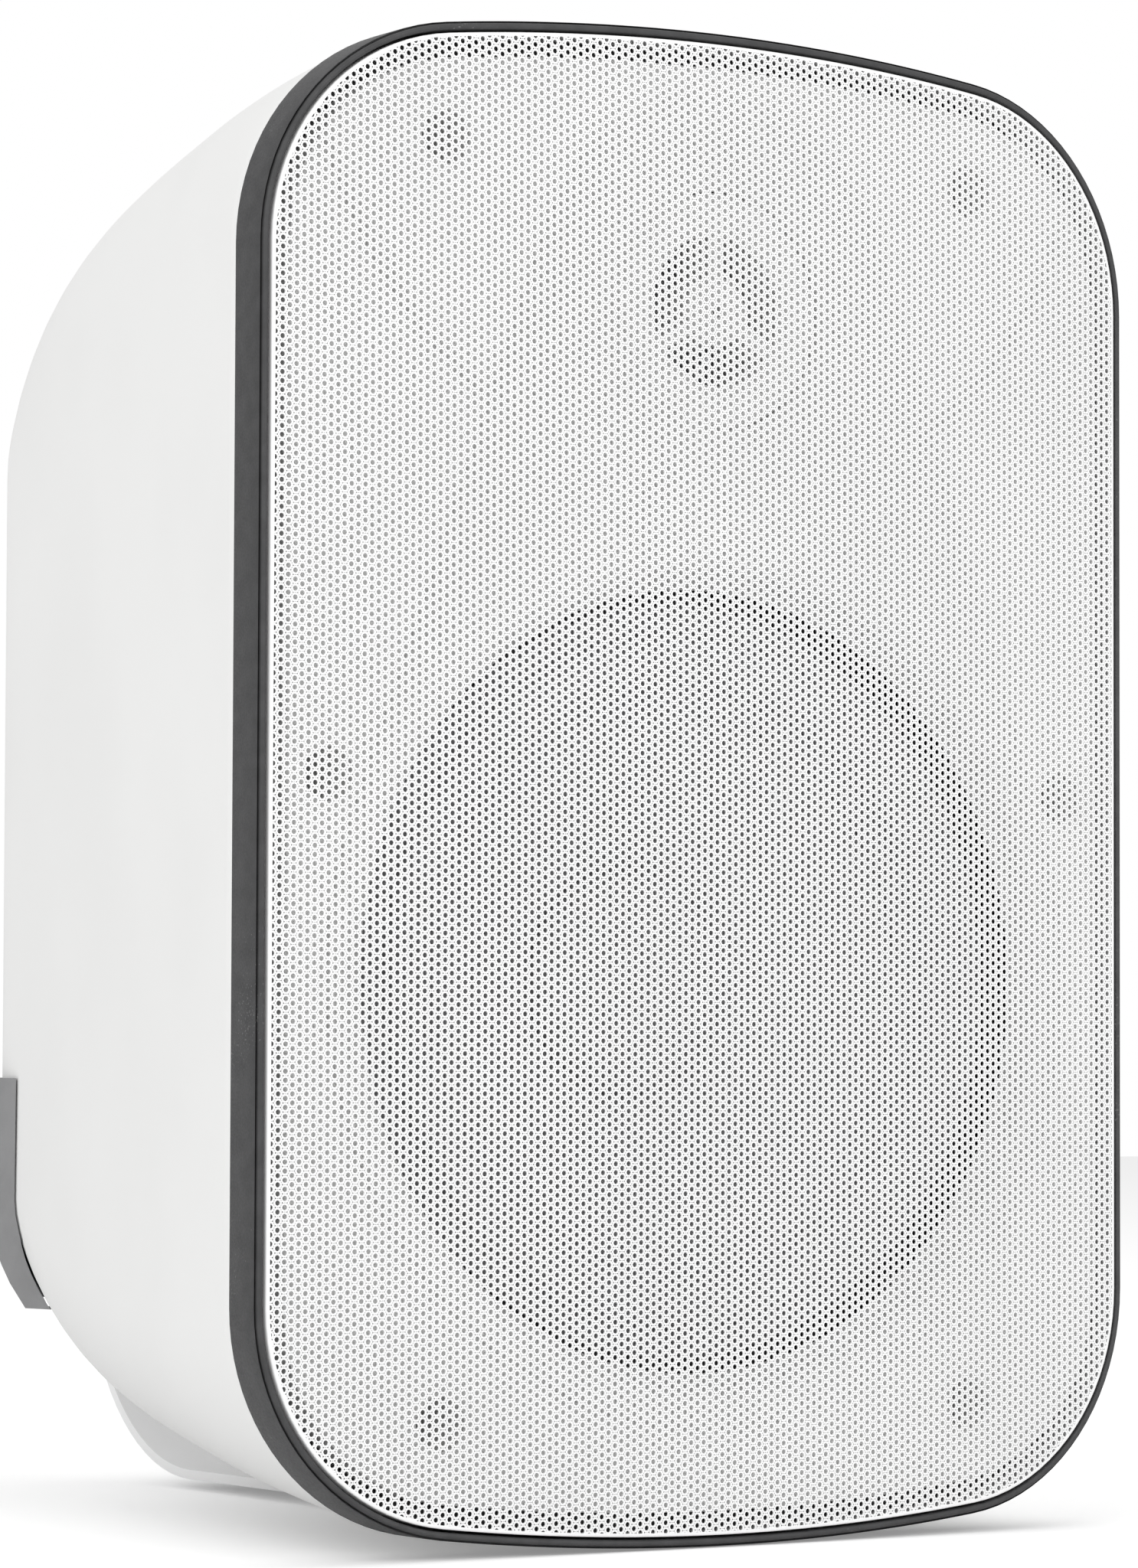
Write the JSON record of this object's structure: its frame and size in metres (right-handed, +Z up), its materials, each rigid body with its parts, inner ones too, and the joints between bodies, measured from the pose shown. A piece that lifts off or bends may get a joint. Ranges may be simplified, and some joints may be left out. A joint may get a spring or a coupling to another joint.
{
  "type": "wall speaker",
  "caption": "Two-way wall speaker with a perforated grille, a moulded cabinet and a swivelling U-bracket.",
  "frame": {"origin": "middle of the bounding box's base, on the surface the speaker stands on", "axes": "+Z up, the grille faces -Y, +X to the right seen from the front"},
  "size_m": [0.197, 0.214, 0.285],
  "materials": {
    "white_abs": "fine moulded texture",
    "dark_abs": "fine moulded texture",
    "white_steel": "satin powder coat",
    "foam": "closed-cell foam",
    "zinc_steel": "zinc plated",
    "black_steel": "black paint",
    "surround_rubber": "satin",
    "cone_paper": "coated pulp and polypropylene",
    "spider_cloth": "phenolic cloth",
    "copper": "enamelled copper wire",
    "ferrite": "sintered",
    "dome_alloy": "satin",
    "black_abs": "satin",
    "red_abs": "satin",
    "grey_abs": "fine moulded texture",
    "board": "solder-masked board",
    "film": "satin",
    "white_nylon": "satin",
    "brass": "turned",
    "rubber": "matte"
  },
  "bodies": {
    "bracket": {"wall_bracket": "white_nylon"},
    "cabinet": {"cabinet_shell": "white_abs", "front_rim": "dark_abs", "grille": "white_steel", "baffle": "white_abs", "baffle_gasket": "foam", "baffle_screws": "zinc_steel", "woofer_gasket": "foam", "woofer_basket": "black_steel", "woofer_surround": "surround_rubber", "woofer_spider": "spider_cloth", "woofer_top_plate": "zinc_steel", "woofer_magnet": "ferrite", "woofer_yoke": "zinc_steel", "woofer_screws": "zinc_steel", "tweeter_face": "white_abs", "tweeter_dome": "dome_alloy", "tweeter_magnet": "ferrite", "tweeter_screws": "zinc_steel", "terminal_plate": "black_abs", "terminal_block": "black_abs", "terminal_screws": "zinc_steel", "terminal_cover": "grey_abs", "cover_screws": "zinc_steel", "crossover_board": "board", "inductor": "copper", "capacitors": "film", "resistor": "film", "board_screws": "zinc_steel", "pivot_inserts": "brass", "pivot_washers": "rubber", "pivot_bolts": "zinc_steel"},
    "cone": {"woofer_cone": "cone_paper", "woofer_dust_cap": "cone_paper", "voice_coil": "copper"},
    "red_lever": {"lever_red": "red_abs"},
    "black_lever": {"lever_black": "black_abs"}
  },
  "joints": [
    {"name": "swivel", "type": "hinge", "parent": "bracket", "child": "cabinet", "pos_m": [0, -0.027, 0.1425], "axis": [0, 0, 1], "range_deg": [-75, 75]},
    {"name": "cone_stroke", "type": "slide", "parent": "cabinet", "child": "cone", "axis": [0, 1, 0], "range_m": [-0.003, 0.003], "stiffness_N_per_m": 1500, "deforming": ["woofer_surround", "woofer_spider"]},
    {"name": "red_press", "type": "hinge", "parent": "cabinet", "child": "red_lever", "pos_m": [-0.012, 0.05511, 0.059], "axis": [1, 0, 0], "range_deg": [0, 25], "stiffness_Nm_per_rad": 0.05},
    {"name": "black_press", "type": "hinge", "parent": "cabinet", "child": "black_lever", "pos_m": [0.012, 0.05511, 0.059], "axis": [1, 0, 0], "range_deg": [0, 25], "stiffness_Nm_per_rad": 0.05}
  ]
}
